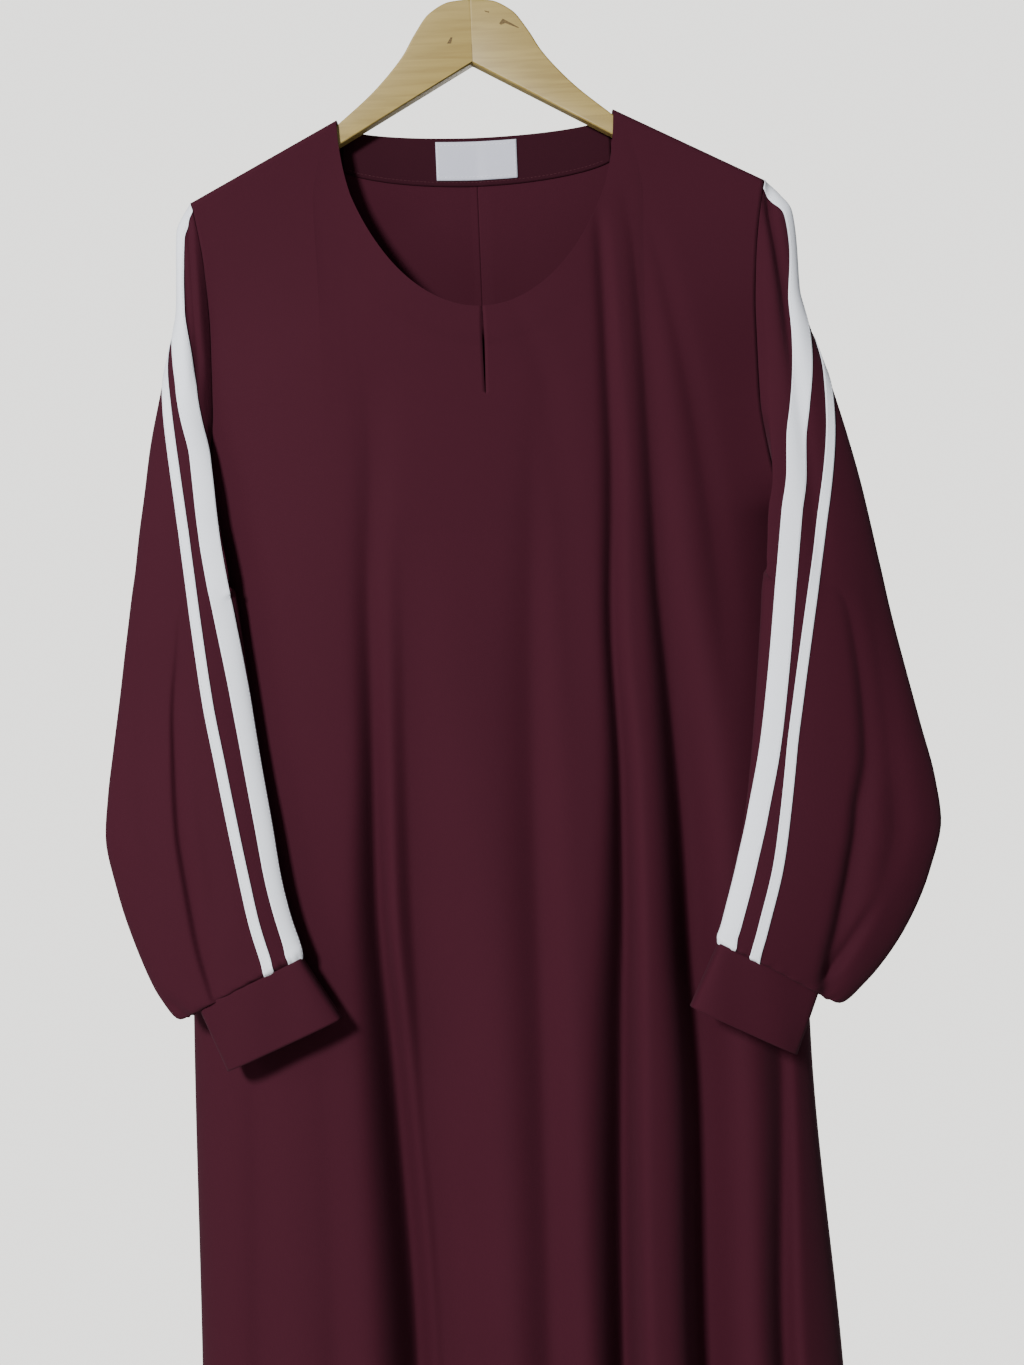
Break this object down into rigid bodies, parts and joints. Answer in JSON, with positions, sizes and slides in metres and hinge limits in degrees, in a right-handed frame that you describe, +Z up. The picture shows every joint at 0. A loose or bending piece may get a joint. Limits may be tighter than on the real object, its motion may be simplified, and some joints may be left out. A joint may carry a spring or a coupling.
{
  "type": "abaya on a clothes hanger",
  "caption": "Long loose gown with set-in cuffed sleeves, a round neck and light tapes down the sleeves, on a flat wooden hanger.",
  "frame": {"origin": "the point inside the top of the hanger's hook where a rail or nail bears", "axes": "+Z up; the garment faces -Y; its wearer's left is at +X"},
  "size_m": [0.5725, 0.1305, 1.5158],
  "materials": {
    "cloth": "matte crepe",
    "tape": "smooth woven tape",
    "label": "woven label, bare",
    "wood": "clear lacquered pale wood",
    "hook": "plain wire"
  },
  "bodies": {
    "root": {"front": "cloth", "back_right": "cloth", "back_left": "cloth", "back_neck_facing": "cloth", "sleeve_right": "cloth", "sleeve_left": "cloth", "cuff_right": "cloth", "cuff_left": "cloth", "wide_tape_right": "tape", "wide_tape_left": "tape", "narrow_tape_right": "tape", "narrow_tape_left": "tape", "label": "label", "hanger_right": "wood", "hanger_left": "wood", "hook": "hook"}
  },
  "joints": []
}
